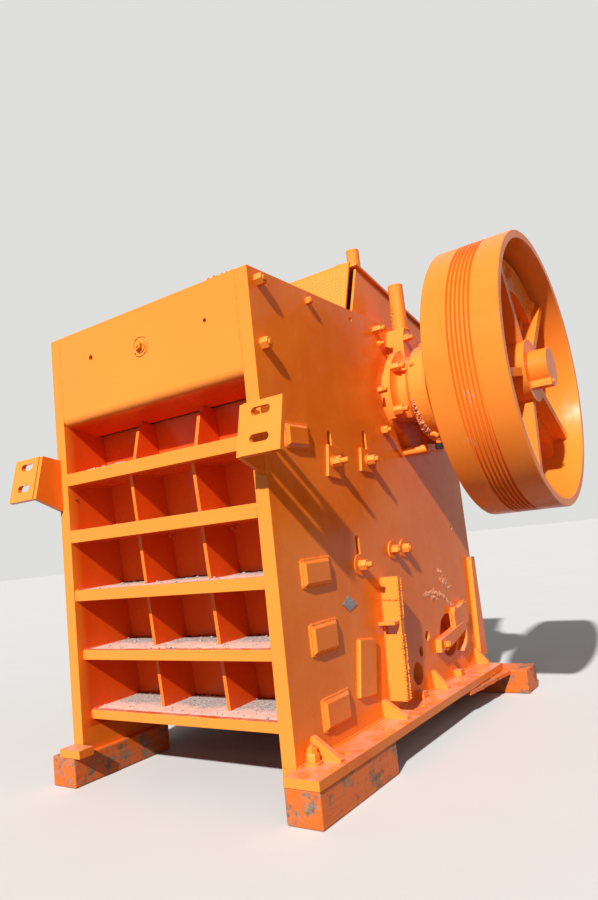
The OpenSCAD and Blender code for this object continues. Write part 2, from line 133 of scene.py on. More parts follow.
# Orange alkyd enamel, sprayed: a glossy coat with orange peel, faint runs, specks of grime, and dust on
# what faces up. Real orange peel is about 1 mm wide and is drawn 3 to 7 mm wide, so that it shows.
# the paler tint is painted sunlight on faces that look to the front
enamel = {"body": "#F07618", "deep": "#EA6A14", "light": "#F5842A", "dust": "#DFA68C",
          # the deep red is painted shade in the cells between the ribs
          "paintedLight": "#FB983C", "paintedLightCover": 0.8, "paintedShadeColour": "#D8370A", "paintedShade": 0.75,
          "mottle": 0.6, "grime": "#7A3010", "grimeCover": 0.55, "up": (0.55, 0.95),
          "roughness": 0.22, "uneven": (-0.08, 0.1), "mirroring": 0.18, "index": 1.5}
enamelPatterns = {
    "thick and thin": {"size": 550, "detail": 4, "edges": (0.35, 0.65)},
    "mottle": {"size": 50, "detail": 3},
    "runs": {"size": 60, "detail": 2, "roughness": 0.5, "edges": (0.52, 0.75), "stretch": (1, 1, 0.06)},
    "specks": {"size": 12, "detail": 2, "roughness": 0.7, "edges": (0.74, 0.80)},
    "dust": {"size": 90, "detail": 5, "roughness": 0.65, "edges": (0.35, 0.62)},
    "sheen": {"size": 120, "detail": 4, "edges": (0.3, 0.7)},
    "pits": {"size": 20, "detail": 4, "roughness": 0.7, "edges": (0.3, 0.6)},
}
# marks of the lathe show through the coat; they are under 1 mm apart, and drawn nearly 4 mm apart to show
latheMarks = {"apart": 3.77, "depth": 0.12}
# The cells between the front ribs, where a deeper red is painted as shade: the box that holds them, the y
# over which the painted shade sets in, the y of the front edges of gussets and of the noses of ribs, which
# get half of it or none, and how far forward a face looks to be one of those.
cells = {"box": ((-733.5, 733.5), (-1318, -800), (300, 2200)), "paintedShade": (-1318, -1258),
         "gussets": (-1050, -1070), "noses": (-1235, -1255), "ahead": (-0.6, -0.9)}
# how far a face has to look to the front, and round the wheels how far off their sides, for the paler tint
# painted as sunlight to show
paintedLightLean = {"front": {"From Min": -0.35, "From Max": -0.8},
             "wheels": {"From Min": 0.99, "From Max": 0.96, "To Max": 0.5}}


def paintedCellShade(tree, place):
    # how much shade is painted: 1 in the cells, half of that on the front edges of the gussets, and 0 on the
    # noses of the ribs
    axes = addNode(tree, "SeparateXYZ", None, {0: place})
    normal = addNode(tree, "SeparateXYZ", None, {0: addNode(tree, "NewGeometry").outputs["Normal"]})
    levels = {}
    for key, source, unit, full in (("paintedShade", axes, 1000, 1.0), ("gussets", axes, 1000, 0.5),
                                    ("noses", axes, 1000, 0.5), ("ahead", normal, 1, 1.0)):
        start, end = cells[key]
        levels[key] = addNode(tree, "MapRange", {"From Min": start / unit, "From Max": end / unit,
                                                 "To Max": full}, {"Value": source.outputs[1]}).outputs[0]
    mask = levels["paintedShade"]
    for axis, (low, high) in enumerate(cells["box"]):
        within = addNode(tree, "Math", {1: (low + high) / 2000, 2: (high - low) / 2000},
                         {0: axes.outputs[axis]}, operation="COMPARE").outputs[0]
        mask = addNode(tree, "Math", None, {0: mask, 1: within}, operation="MULTIPLY").outputs[0]
    edge = addNode(tree, "Math", None, {0: levels["gussets"], 1: levels["noses"]}, operation="ADD").outputs[0]
    edge = addNode(tree, "Math", None, {0: levels["ahead"], 1: edge}, operation="MULTIPLY").outputs[0]
    return addNode(tree, "Math", None, {0: mask, 1: edge}, operation="SUBTRACT", use_clamp=True).outputs[0]


def paintedLightMask(tree, turned):
    # a paler tint painted as sunlight on what faces the front, and half as much round the wheels, but not on
    # their sides
    axes = addNode(tree, "SeparateXYZ", None, {0: addNode(tree, "TexCoord").outputs["Normal"]})
    if turned:
        lean = addNode(tree, "Math", None, {0: axes.outputs[0]}, operation="ABSOLUTE").outputs[0]
        return addNode(tree, "MapRange", paintedLightLean["wheels"], {"Value": lean}).outputs[0]
    return addNode(tree, "MapRange", paintedLightLean["front"], {"Value": axes.outputs[1]}).outputs[0]


def enamelMaterial(name, peel, peelSize, waves, waveSize, pits=0.0, dust=0.0, runs=0.0, turned=False,
                   duller=0.0):
    # peel, waves and pits are depths; dust and runs say how far they cover; duller adds to the roughness
    material, tree, place = startMaterial(name)
    coatDepth = pattern(tree, place, **enamelPatterns["thick and thin"])
    body = layOver(tree, enamel["deep"], enamel["light"], coatDepth)
    mottle = pattern(tree, place, **enamelPatterns["mottle"])
    body = layOver(tree, body, enamel["body"], mottle, enamel["mottle"])
    if runs:
        body = layOver(tree, body, enamel["light"], pattern(tree, place, **enamelPatterns["runs"]), runs)
    # painted sunlight: a paler tint on what faces the front
    body = layOver(tree, body, enamel["paintedLight"], paintedLightMask(tree, turned), enamel["paintedLightCover"])
    # painted shade: a deeper red in the cells between the ribs
    body = layOver(tree, body, enamel["paintedShadeColour"], paintedCellShade(tree, place), enamel["paintedShade"])
    specks = pattern(tree, place, **enamelPatterns["specks"])
    body = layOver(tree, body, enamel["grime"], specks, enamel["grimeCover"])
    if dust:
        normal = addNode(tree, "SeparateXYZ", None, {0: addNode(tree, "NewGeometry").outputs["Normal"]})
        up = addNode(tree, "MapRange", {"From Min": enamel["up"][0], "From Max": enamel["up"][1]},
                     {"Value": normal.outputs[2]})
        drift = pattern(tree, place, **enamelPatterns["dust"])
        lying = addNode(tree, "Math", None, {0: up.outputs[0], 1: drift}, operation="MULTIPLY")
        body = layOver(tree, body, enamel["dust"], lying.outputs[0], dust)
    dull = [enamel["roughness"] + duller + change for change in enamel["uneven"]]
    roughness = pattern(tree, place, **enamelPatterns["sheen"], values=dull)
    layers = [(pattern(tree, place, waveSize), waves), (pattern(tree, place, peelSize, 2), peel)]
    if pits:
        layers.insert(0, (pattern(tree, place, **enamelPatterns["pits"]), pits))
    if turned:
        scale = 1000 * math.tau / 20 / latheMarks["apart"]  # a wave of scale 1 is a twentieth of tau long
        rings = addNode(tree, "TexWave", {"Scale": scale, "Distortion": 0.4, "Detail": 1.0},
                        {"Vector": place}, wave_type="BANDS", bands_direction="X").outputs[1]
        layers.append((rings, latheMarks["depth"]))
    return finishMaterial(material, tree, body, roughness, heights(tree, layers),
                          Specular_IOR_Level=enamel["mirroring"], IOR=enamel["index"])


def speckledMaterial(name, colours, size, depth, roughness, metallic=0.0, wet=0.0):
    # two colours in blotches as wide as size and a third in finer ones
    material, tree, place = startMaterial(name)
    coarse = {"size": size, "detail": 5, "roughness": 0.6}
    fine = {"size": size * 0.22, "detail": 4, "roughness": 0.7}
    body = layOver(tree, colours[0], colours[1], pattern(tree, place, **coarse, edges=(0.4, 0.62)))
    body = layOver(tree, body, colours[2], pattern(tree, place, **fine, edges=(0.5, 0.66)))
    dull = pattern(tree, place, **fine, edges=(0.3, 0.7), values=(roughness - 0.1, roughness + 0.12))
    normal = heights(tree, [(pattern(tree, place, **coarse), depth),
                            (pattern(tree, place, **fine), depth * 0.4)])
    return finishMaterial(material, tree, body, dull, normal, Metallic=metallic, Coat_Weight=wet)


def oversprayedMaterial(name, wood, stretch):
    # two colours along the grain, and a ragged coat of the enamel on them
    material, tree, place = startMaterial(name)
    grain = {"size": 30, "detail": 5, "roughness": 0.65, "stretch": stretch, "distortion": 0.6}
    spray = {"size": 110, "detail": 6, "roughness": 0.72, "edges": (0.40, 0.50)}
    body = layOver(tree, wood[0], wood[1], pattern(tree, place, **grain, edges=(0.35, 0.68)))
    body = layOver(tree, body, enamel["deep"], pattern(tree, place, **spray), 0.92)
    roughness = pattern(tree, place, **spray, values=(0.85, 0.5))
    normal = heights(tree, [(pattern(tree, place, **grain), 4), (pattern(tree, place, 12), 1),
                            (pattern(tree, place, **spray), 0.6)])
    return finishMaterial(material, tree, body, roughness, normal)


def gravelMaterial(name, stone, dust, border):
    # grey grit behind the border, dust coloured by the paint in front of it
    material, tree, place = startMaterial(name)
    axes = addNode(tree, "SeparateXYZ", None, {0: place})
    wander = pattern(tree, place, 90, 4, 0.65, edges=(0.3, 0.7), values=(-0.05, 0.05))
    depth = addNode(tree, "Math", None, {0: axes.outputs[1], 1: wander}, operation="ADD").outputs[0]
    grit = {"size": 12, "detail": 5, "roughness": 0.7}
    grey = layOver(tree, stone[0], stone[1], pattern(tree, place, **grit, edges=(0.42, 0.6)))
    grey = layOver(tree, grey, stone[2], pattern(tree, place, 6, 3, 0.7, edges=(0.6, 0.68)))
    pink = layOver(tree, dust[0], dust[1], pattern(tree, place, 50, 5, 0.65, edges=(0.35, 0.65)))
    pink = layOver(tree, pink, stone[1], pattern(tree, place, **grit, edges=(0.62, 0.70)), 0.6)
    behind = addNode(tree, "MapRange", {"From Min": border[0] / 1000, "From Max": border[1] / 1000},
                     {"Value": depth}).outputs[0]
    return finishMaterial(material, tree, layOver(tree, pink, grey, behind),
                          pattern(tree, place, **grit, edges=(0.3, 0.7), values=(0.8, 0.95)),
                          heights(tree, [(pattern(tree, place, **grit), 3)]))


# enamel on rolled plate: flat and glossy, in long gentle waves, with runs and much dust
plateEnamel = enamelMaterial("enamel sprayed on rolled steel plate", peel=0.4, peelSize=7, waves=1.2,
                             waveSize=80, dust=0.7, runs=0.3)
# enamel on a sand casting: uneven and pitted by the mould
castEnamel = enamelMaterial("enamel sprayed on sand-cast steel", peel=0.6, peelSize=6, waves=2, waveSize=50,
                            pits=1, dust=0.35, duller=0.04)
# enamel on turned iron: even, with faint rings, and clean where the belts run
rimEnamel = enamelMaterial("enamel sprayed on turned cast iron", peel=0.2, peelSize=5, waves=0.5,
                           waveSize=150, turned=True, duller=0.08)
# enamel on welds: lumpy, its shine broken up
weldEnamel = enamelMaterial("enamel over weld beads and flame-cut edges", peel=0.8, peelSize=4, waves=2,
                            waveSize=15, pits=0.8, dust=0.3, duller=0.2)
# enamel on nuts: thick, with soft edges and a low shine
boltEnamel = enamelMaterial("enamel over forged nuts and studs", peel=0.3, peelSize=3, waves=0.8, waveSize=20,
                            dust=0.3, duller=0.2)
# dull, dented, brown where the stone has left it alone
manganese = speckledMaterial("cast manganese steel, worn by stone", ("#6A625C", "#8A8079", "#5A3E2E"),
                             size=90, depth=3, roughness=0.5, metallic=0.7)
# smooth and shiny under a film of oil
machinedSteel = speckledMaterial("machined shaft steel, oiled", ("#8F8B86", "#A7A39D", "#6E6257"),
                                 size=200, depth=0.3, roughness=0.32, metallic=0.95)
# plain grey with a soft sheen
bareSteel = speckledMaterial("bare cold-rolled steel, weathered", ("#7F868C", "#9AA1A6", "#5F6468"),
                             size=30, depth=0.4, roughness=0.45, metallic=0.6)
# pale and fine-grained against the paint round it
wornIron = speckledMaterial("cast iron, rubbed bare by belts", ("#C3B8AE", "#DDD3C9", "#9C8F84"),
                            size=10, depth=0.2, roughness=0.5, metallic=0.3)
# nearly black, with a soft shine
blackNut = speckledMaterial("black-oxide nut, oiled", ("#2A2522", "#3B3431", "#1D1A18"),
                            size=20, depth=0.3, roughness=0.35, metallic=0.5)
# brown-red, lumpy and still wet
grease = speckledMaterial("old bearing grease with grit", ("#7C2A12", "#571A0B", "#A8532E"),
                          size=20, depth=2, roughness=0.35, wet=0.2)
# pale, dry and crumbly
dustyGrease = speckledMaterial("grease crusted with stone dust", ("#E58C55", "#F2B48E", "#C4622F"),
                               size=18, depth=1, roughness=0.8)
# paler than the plate, partly because boots have thinned it and partly as a painted highlight on the crests
paleCrestEnamel = speckledMaterial("enamel on the crests of the tread, rubbed and painted lit", ("#FFC274", "#FFD596", "#F0A050"),
                                size=60, depth=0.4, roughness=0.4)
# flakes that show a dusty, pale edge
looseEnamel = speckledMaterial("curled flakes of orange enamel", ("#EE9A66", "#F8C6A2", "#D06A32"),
                               size=15, depth=1, roughness=0.45)
# black and matt, painted as shade in gaps and corners
shadeBlack = speckledMaterial("black painted as shade in gaps and corners", ("#2A1A14", "#40291F", "#1C120E"),
                              size=20, depth=1, roughness=0.85)
# grey grit that turns pink where dust of the paint has mixed with it; the grit is drawn 12 mm wide to show
gravel = gravelMaterial("stone dust and limestone grit", ("#91867C", "#D3CBC2", "#5E544D"),
                        ("#E9AE96", "#F4CFBE"), border=(-1130, -1050))
# pale grey and matt
pebble = speckledMaterial("limestone chips", ("#A79C93", "#C9BFB5", "#857A72"),
                          size=12, depth=1, roughness=0.85)
# grey-brown with open grain, half hidden by overspray; the first lies across the machine, the second along it
oakAcross = oversprayedMaterial("oak sleeper, weathered and oversprayed", ("#6B4A35", "#9A7C62"),
                                stretch=(0.08, 1, 1))
oakAlong = oversprayedMaterial("oak block, weathered and oversprayed", ("#755440", "#A58A74"),
                               stretch=(1, 0.08, 1))
print("materials made:", len(bpy.data.materials))


# Builders

def makePiece(name, bm, material, body="frame", smooth=35.0):
    # bm turns from millimetres to metres; an edge stays sharp where it turns by more than smooth degrees
    bmesh.ops.scale(bm, vec=(0.001, 0.001, 0.001), verts=bm.verts)
    bmesh.ops.recalc_face_normals(bm, faces=bm.faces)
    mesh = bpy.data.meshes.new(name)
    bm.to_mesh(mesh)
    bm.free()
    mesh.shade_smooth()
    mesh.set_sharp_from_angle(angle=math.radians(smooth))
    obj = bpy.data.objects.new(name, mesh)
    bpy.context.scene.collection.objects.link(obj)
    mesh.materials.append(material)
    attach(obj, body)
    return obj


def facing(origin, direction, up=(0, 0, 1)):
    # local Z looks in the direction, local Y is near up
    z = Vector(direction).normalized()
    x = Vector(up).cross(z).normalized()
    place = Matrix((x, z.cross(x), z)).transposed().to_4x4()
    place.translation = Vector(origin)
    return place


def addTube(bm, rings):
    # skin through rings of points, closed by the first and the last ring
    rings = [[bm.verts.new(point) for point in ring] for ring in rings]
    count = len(rings[0])
    for lower, upper in zip(rings, rings[1:]):
        for k in range(count):
            bm.faces.new([lower[k], lower[(k + 1) % count], upper[(k + 1) % count], upper[k]])
    bm.faces.new(rings[0][::-1])
    bm.faces.new(rings[-1])


def addLathe(bm, place, profile, sides=24, turn=0.0):
    # profile of (radius, height) points
    rings = []
    for radius, height in profile:
        angles = [turn + 2 * math.pi * k / sides for k in range(sides)]
        rings.append([place @ Vector((radius * math.cos(a), radius * math.sin(a), height)) for a in angles])
    addTube(bm, rings)


def addSlab(bm, place, outline, low, high, chamfer=3.0):
    # outline of (x, y) points anticlockwise, with a chamfered top edge
    points = [Vector(point) for point in outline]
    centre = sum(points, Vector((0, 0))) / len(points)
    inset = [point - (point - centre).normalized() * chamfer for point in points]
    levels = ((points, low), (points, high - chamfer), (inset, high))
    addTube(bm, [[place @ Vector((*point, level)) for point in ring] for ring, level in levels])


nutShape = {"bevel": 1.5, "shoulder": 0.86, "crown": 0.88, "dome": 3, "tip": 0.82}


def addStud(bm, place, acrossFlats, nutHeight, studRadius, studOut, washer=None, turn=0.0):
    # washer is (radius, thickness); the nut is chamfered on top, and the stud has a domed end
    base = 0.0
    if washer:
        radius, base = washer
        bevel = nutShape["bevel"]
        addLathe(bm, place, [(radius, -1), (radius, base - bevel), (radius - bevel, base)], 28)
    corner = acrossFlats / math.sqrt(3)
    top = base + nutHeight
    addLathe(bm, place, [(corner, base - 1), (corner, base + nutHeight * nutShape["shoulder"]),
                         (corner * nutShape["crown"], top)], 6, turn)
    addLathe(bm, place, [(studRadius, top - 2), (studRadius, top + studOut - nutShape["dome"]),
                         (studRadius * nutShape["tip"], top + studOut)], 18)


def addBead(bm, points, radius, rng, step=13.0, ripple=0.16, sides=6, wander=0.12):
    # a weld bead along the points, with a ripple at each step and narrow ends; with no ripple and no
    # wander it is a plain bar
    path = [Vector(p) for p in points]
    samples = []
    for a, b in zip(path, path[1:]):
        count = max(1, round((b - a).length / step))
        samples += [(a.lerp(b, k / count), (b - a).normalized()) for k in range(count)]
    samples.append((path[-1], (path[-1] - path[-2]).normalized()))
    rings = []
    for i, (centre, along) in enumerate(samples):
        side = along.orthogonal().normalized()
        other = along.cross(side)
        taper = 0.45 if i in (0, len(samples) - 1) else 1.0
        size = radius * taper * (1 + (ripple if i % 2 else -ripple) + rng.uniform(-0.8, 0.8) * wander)
        shift = (side * rng.uniform(-wander, wander) + other * rng.uniform(-wander, wander)) * radius
        angles = [2 * math.pi * k / sides for k in range(sides)]
        rings.append([centre + shift + side * math.cos(a) * size + other * math.sin(a) * size
                      for a in angles])
    addTube(bm, rings)


def addLump(bm, centre, radius, rng, rough, squash=(1, 1, 1)):
    # rough is how far the corners move, as a share of the radius; the seed makes no two lumps alike
    seed = Vector((rng.uniform(-50, 50), rng.uniform(-50, 50), rng.uniform(-50, 50)))
    for v in bmesh.ops.create_icosphere(bm, subdivisions=1, radius=radius)["verts"]:
        v.co *= 1 + rough * noise.noise(v.co / radius * 1.3 + seed)
        v.co = Vector(centre) + Vector((v.co.x * squash[0], v.co.y * squash[1], v.co.z * squash[2]))


def addMirror(bm):
    # the same again on the other side of the machine
    made = bmesh.ops.duplicate(bm, geom=bm.verts[:] + bm.edges[:] + bm.faces[:])["geom"]
    for v in made:
        if isinstance(v, bmesh.types.BMVert):
            v.co.x = -v.co.x
    bmesh.ops.reverse_faces(bm, faces=[f for f in made if isinstance(f, bmesh.types.BMFace)])


# Finish and rounded edges of the CAD nodes

def bothSides(*stems):
    return [stem + side for stem in stems for side in ("_right", "_left")]


nodeFinish = {
    plateEnamel: bothSides("side_plate", "base_flange", "hood_side", "housing_pipe", "slotted_bracket",
                           "toggle_clamp")
    + ["front_rib_" + str(k) for k in range(1, 6)]
    + ["front_wall", "rib_gussets", "top_front_plate", "pitman_guard", "hood_top", "hood_back",
       "lifting_bosses", "rear_wall", "stiffener_bars", "rear_edge_bars"],
    castEnamel: bothSides("bearing_housing")
    + ["pitman", "shaft_keys", "tension_rod", "tension_spring", "toggle_beam"],
    rimEnamel: ["drive_sheave", "flywheel", "eccentric_shaft"],
    manganese: bothSides("cheek_plate") + ["fixed_jaw_plate", "moving_jaw_plate"],
    machinedSteel: ["toggle_plate"],
    oakAcross: ["sleeper_rear"],
    oakAlong: bothSides("sleeper_front"),
}
# for a node or for both sides of it
edgeRadius = {"drive_sheave": 5, "flywheel": 5, "bearing_housing": 8, "pitman": 14, "eccentric_shaft": 4,
              "rib_gussets": 1.5, "hood_top": 2, "hood_side": 2, "pitman_guard": 1.5, "fixed_jaw_plate": 8,
              "moving_jaw_plate": 8, "tension_spring": 0, "housing_pipe": 1.5, "top_front_plate": 5,
              "sleeper_front": 10, "sleeper_rear": 10, "all others": 3}
# mesh points nearer than joined become one; the angles are in degrees
rounding = {"joined": 0.02, "flat": 0.5, "sharp": 28, "steps": 3}


def dressNode(name, material, radius):
    obj = cad[name]
    obj.data.materials.clear()
    obj.data.materials.append(material)
    if "custom_normal" in obj.data.attributes:
        obj.data.attributes.remove(obj.data.attributes["custom_normal"])
    obj.data.shade_smooth()
    weld = obj.modifiers.new("joined corners", "WELD")
    weld.merge_threshold = rounding["joined"] / 1000
    flat = obj.modifiers.new("flat faces", "DECIMATE")
    flat.decimate_type = "DISSOLVE"
    flat.angle_limit = math.radians(rounding["flat"])
    if radius:
        bevel = obj.modifiers.new("rounded edges", "BEVEL")
        bevel.width = radius / 1000
        bevel.segments = rounding["steps"]
        bevel.limit_method = "ANGLE"
        bevel.angle_limit = math.radians(rounding["sharp"])
        bevel.use_clamp_overlap = True
    even = obj.modifiers.new("even shading", "WEIGHTED_NORMAL")
    even.keep_sharp = False


for finish, names in nodeFinish.items():
    for name in names:
        stem = name.removesuffix("_right").removesuffix("_left")
        dressNode(name, finish, edgeRadius.get(stem, edgeRadius["all others"]))
print("CAD nodes dressed:", sum(len(names) for names in nodeFinish.values()))


# Measures that several pieces share; what leans is at y where z is at, and goes on by lean for each mm up

plate = {"outer": 817, "inner": 733, "front": -1336, "foot": 215}
shaft = {"y": 303.8, "z": 2177}
rib = {"foot": (1761, 1407, 1053, 699, 345), "thick": (76, 76, 64, 58, 54), "setBack": (0, 0, 9, 44, 79)}
wall = {"y": -880, "at": 562, "lean": -0.0997}
gusset = {"y": -1233, "at": 1554, "lean": -0.0902, "x": 251, "half": 12}
stiffener = {"y": -345, "at": 287, "lean": 55 / 715}
outward = (1, 0, 0)
forward = (0, -1, 0)
rearward = (0, 1, 0)
upward = (0, 0, 1)
sunk = 2  # how deep the foot of a fitting goes into the plate under it


def leanY(part, z):
    return part["y"] + part["lean"] * (z - part["at"])


def onCircle(x, radius, degrees):
    # a point round the shaft; 0 degrees is to the rear, 90 up
    a = math.radians(degrees)
    return (x, shaft["y"] + radius * math.cos(a), shaft["z"] + radius * math.sin(a))


# Nuts and washer plates on the side plates
# each nut: y, z, width across flats, nut height, stud radius, how far the stud stands out, washer radius

sideNuts = {"front upper": (-1253, 2650, 59, 44, 17, 8, 0), "front lower": (-1258, 2301, 59, 46, 17, 8, 0),
            "slot front": (-707, 1698, 56, 46, 17, 46, 36), "slot middle": (-290, 1726, 56, 46, 17, 24, 36),
            "slot low": (-523, 1098, 56, 46, 17, 34, 64), "toggle front": (-82, 1155, 54, 44, 16, 8, 60),
            "toggle rear": (79, 1155, 54, 44, 16, 8, 60), "housing low": (5, 1940, 48, 32, 14, 20, 30),
            "lip": (-778, 2648, 40, 30, 12, 6, 0)}
washerThick = 8
washerPlates = {"slot front": ((-777, 1617), (-643, 1599), (-610, 1782), (-744, 1800)),
                "slot middle": ((-384, 1658), (-230, 1648), (-208, 1791), (-362, 1801)),
                "thick": 15, "chamfer": 2}
rng = random.Random(4)
bm = bmesh.new()
for key, (y, z, flats, tall, studRadius, studOut, washerRadius) in sideNuts.items():
    # two of the nuts stand on washer plates
    base = plate["outer"] + (washerPlates["thick"] if key in washerPlates else 0)
    washer = (washerRadius, washerThick) if washerRadius else None
    addStud(bm, facing((base, y, z), outward), flats, tall, studRadius, studOut, washer, rng.uniform(0, 1))
addMirror(bm)
makePiece("side_nuts", bm, boltEnamel)

onPlate = facing((plate["outer"], 0, 0), outward)  # local x runs to the rear, local y up
bm = bmesh.new()
for key in ("slot front", "slot middle"):
    addSlab(bm, onPlate, washerPlates[key], -sunk, washerPlates["thick"], washerPlates["chamfer"])
addMirror(bm)
makePiece("washer_plates", bm, plateEnamel)

# a square of bare steel, left askew on the plate
bareSquare = {"corners": ((-761, 902), (-698, 856), (-605, 884), (-688, 944)), "thick": 4, "chamfer": 1.5}
bm = bmesh.new()
addSlab(bm, onPlate, bareSquare["corners"], -sunk, bareSquare["thick"], bareSquare["chamfer"])
makePiece("bare_square", bm, bareSteel)
print("side plate fittings made")


# Bearing housings: bolts, screws of the cover, grease line, grease
# size is width across flats, nut height, stud radius and how far the stud stands out

housing = {
    "ring bolts": {"x": 923, "circle": 326, "angles": (148.5, 202, 4, 50), "size": (56, 58, 18, 38)},
    "lug bolt": {"at": (947, 247, 2588), "size": (50, 36, 16, 28)},
    "bolt above": {"at": (817, 50, 2641), "size": (52, 58, 18, 30)},
    "small stud": {"at": (817, 92, 2554), "size": (34, 22, 12, 26)},
    "clamp screw": {"at": (846, -43, 2203), "size": (44, 34, 14, 26)},
    "rim screws": {"x": 1074, "circle": 330, "angles": (62, 107, 152, 242, 287, 332, 17),
                   "size": (26, 14, 7, 5)},
    "face screws": {"x": 1166, "circle": 262, "count": 8, "first": 22, "size": (34, 20, 9, 3),
                    "washer": (22, 4)},
    # dowel under the corner of the saddle's web
    "dowel": {"at": (817, 300, 1808), "profile": ((30, -2), (30, 158), (25, 171), (14, 178)), "sides": 20},
    # elbow of the grease line, bending down from the cover to the end of a hose
    "elbow": {"path": ((1084, 160, 1880), (1106, 150, 1879), (1122, 152, 1871), (1129, 168, 1857),
                       (1124, 184, 1838), (1118, 190, 1812)), "radius": 20, "step": 9, "sides": 12},
    "hose end": {"at": (1117, 191, 1784), "profile": ((20, -10), (27, 0), (27, 24), (22, 30)), "sides": 6,
                 "turn": 0.3},
}
rng = random.Random(7)
bm = bmesh.new()
screws = housing["ring bolts"]
for angle in screws["angles"]:
    place = facing(onCircle(screws["x"], screws["circle"], angle), outward)
    addStud(bm, place, *screws["size"], None, rng.uniform(0, 1))
for key in ("lug bolt", "bolt above", "small stud", "clamp screw"):
    addStud(bm, facing(housing[key]["at"], outward), *housing[key]["size"], None, rng.uniform(0, 1))
screws = housing["rim screws"]
for angle in screws["angles"]:
    spoke = (0, math.cos(math.radians(angle)), math.sin(math.radians(angle)))
    addStud(bm, facing(onCircle(screws["x"], screws["circle"], angle), spoke, outward), *screws["size"])
screws = housing["face screws"]
for k in range(screws["count"]):
    spot = onCircle(screws["x"], screws["circle"], screws["first"] + 360 / screws["count"] * k)
    addStud(bm, facing(spot, outward), *screws["size"], screws["washer"])
dowel = housing["dowel"]
addLathe(bm, facing(dowel["at"], outward), dowel["profile"], dowel["sides"])
elbow = housing["elbow"]
addBead(bm, elbow["path"], elbow["radius"], rng, elbow["step"], ripple=0, sides=elbow["sides"], wander=0)
addMirror(bm)
makePiece("housing_bolts", bm, boltEnamel)

hoseEnd = housing["hose end"]
bm = bmesh.new()
addLathe(bm, facing(hoseEnd["at"], upward, rearward), hoseEnd["profile"], hoseEnd["sides"], hoseEnd["turn"])
addMirror(bm)
makePiece("elbow_nuts", bm, blackNut)

# Grease squeezed out round the cover: a thin line in front, which thickens to a mass below.
# spreads are (at the thin end, more at the thick end)
greaseMass = {"radius": 331, "off": (-3, 4), "x": (1062, 1086), "angles": (-167, -112), "lumps": 190,
              "inSpread": (5, 24), "outSpread": (4, 10), "size": (3, 6), "swell": 11, "dark": 0.2,
              "rough": 0.8, "squash": (0.7, 1.5)}
pale = bmesh.new()
dark = bmesh.new()
for k in range(greaseMass["lumps"]):
    share = (k + rng.random()) / greaseMass["lumps"]
    x, angle = [low + (high - low) * share for low, high in (greaseMass["x"], greaseMass["angles"])]
    inward, out = [low + more * share for low, more in (greaseMass["inSpread"], greaseMass["outSpread"])]
    x += rng.uniform(-inward, out)
    spot = onCircle(x, greaseMass["radius"] + rng.uniform(*greaseMass["off"]), angle)
    layer = dark if rng.random() < greaseMass["dark"] else pale
    size = rng.uniform(*greaseMass["size"]) + greaseMass["swell"] * share * rng.random()
    squash = (rng.uniform(*greaseMass["squash"]), rng.uniform(*greaseMass["squash"]), 1)
    addLump(layer, spot, size, rng, greaseMass["rough"], squash)
addMirror(pale)
addMirror(dark)
makePiece("squeezed_grease", dark, grease, smooth=60)
makePiece("dusty_grease", pale, dustyGrease, smooth=60)
print("housing fittings made")


# Front: plug bolts, black painted as shade in holes and gaps, nuts on the base flange and on the clamp bars

frontBolts = {
    "lip": {"at": (0, plate["front"], 2483), "size": (46, 22, 13, 6), "washer": (40, 6), "turn": 0.3,
            "weld": 58, "weldRadius": 5, "weldStep": 14},
    "cells": {"at": ((-273, 1786), (250, 1781), (-241, 1396), (262, 1396), (-241, 1040), (262, 1040)),
              "size": (44, 20, 12, 6), "washer": (34, 5)},
    # the first nut has a lock nut on top of it
    "flange": (((849, -1240, 215), (60, 42, 20, 20), (46, 12), 0.4),
               ((849, -1240, 269), (48, 24, 15, 10), None, 0),
               ((-927, -1060, 215), (52, 44, 18, 26), (42, 12), 0.1)),
    "clamp": {"at": (862, 469, 466), "size": (42, 24, 14, 8), "washer": (32, 5), "turn": 0.5},
}
rng = random.Random(9)
bm = bmesh.new()
plug = frontBolts["lip"]
place = facing(plug["at"], forward)
addStud(bm, place, *plug["size"], plug["washer"], plug["turn"])
circle = [place @ Vector((plug["weld"] * math.cos(a), plug["weld"] * math.sin(a), 1)) for a in
          [2 * math.pi * k / 20 for k in range(21)]]
addBead(bm, circle, plug["weldRadius"], rng, plug["weldStep"])
plug = frontBolts["cells"]
for x, z in plug["at"]:
    addStud(bm, facing((x, leanY(wall, z), z), forward), *plug["size"], plug["washer"], rng.uniform(0, 1))
for spot, size, washer, turn in frontBolts["flange"]:
    addStud(bm, facing(spot, upward, rearward), *size, washer, turn)
plug = frontBolts["clamp"]
for side in (1, -1):
    x, y, z = plug["at"]
    addStud(bm, facing((x * side, y, z), (side, 0, 0)), *plug["size"], plug["washer"], plug["turn"])
makePiece("front_bolts", bm, boltEnamel)

# small holes in the lip and the cells, with black lumps in them painted as their shade: x, y, z, radius
holeShade = {"at": ((-520, -992, 1935, 9), (-350, -992, 1960, 9), (207, -992, 1985, 9),
                    (-733, -1275, 1674, 13), (-426, -1180, 1565, 7), (-126, -1246, 758, 8)),
             "rough": 0.4, "squash": (0.6, 0.6, 0.6)}
bm = bmesh.new()
for x, y, z, radius in holeShade["at"]:
    addLump(bm, (x, y, z), radius, rng, holeShade["rough"], holeShade["squash"])
makePiece("painted_hole_shade", bm, blackNut)

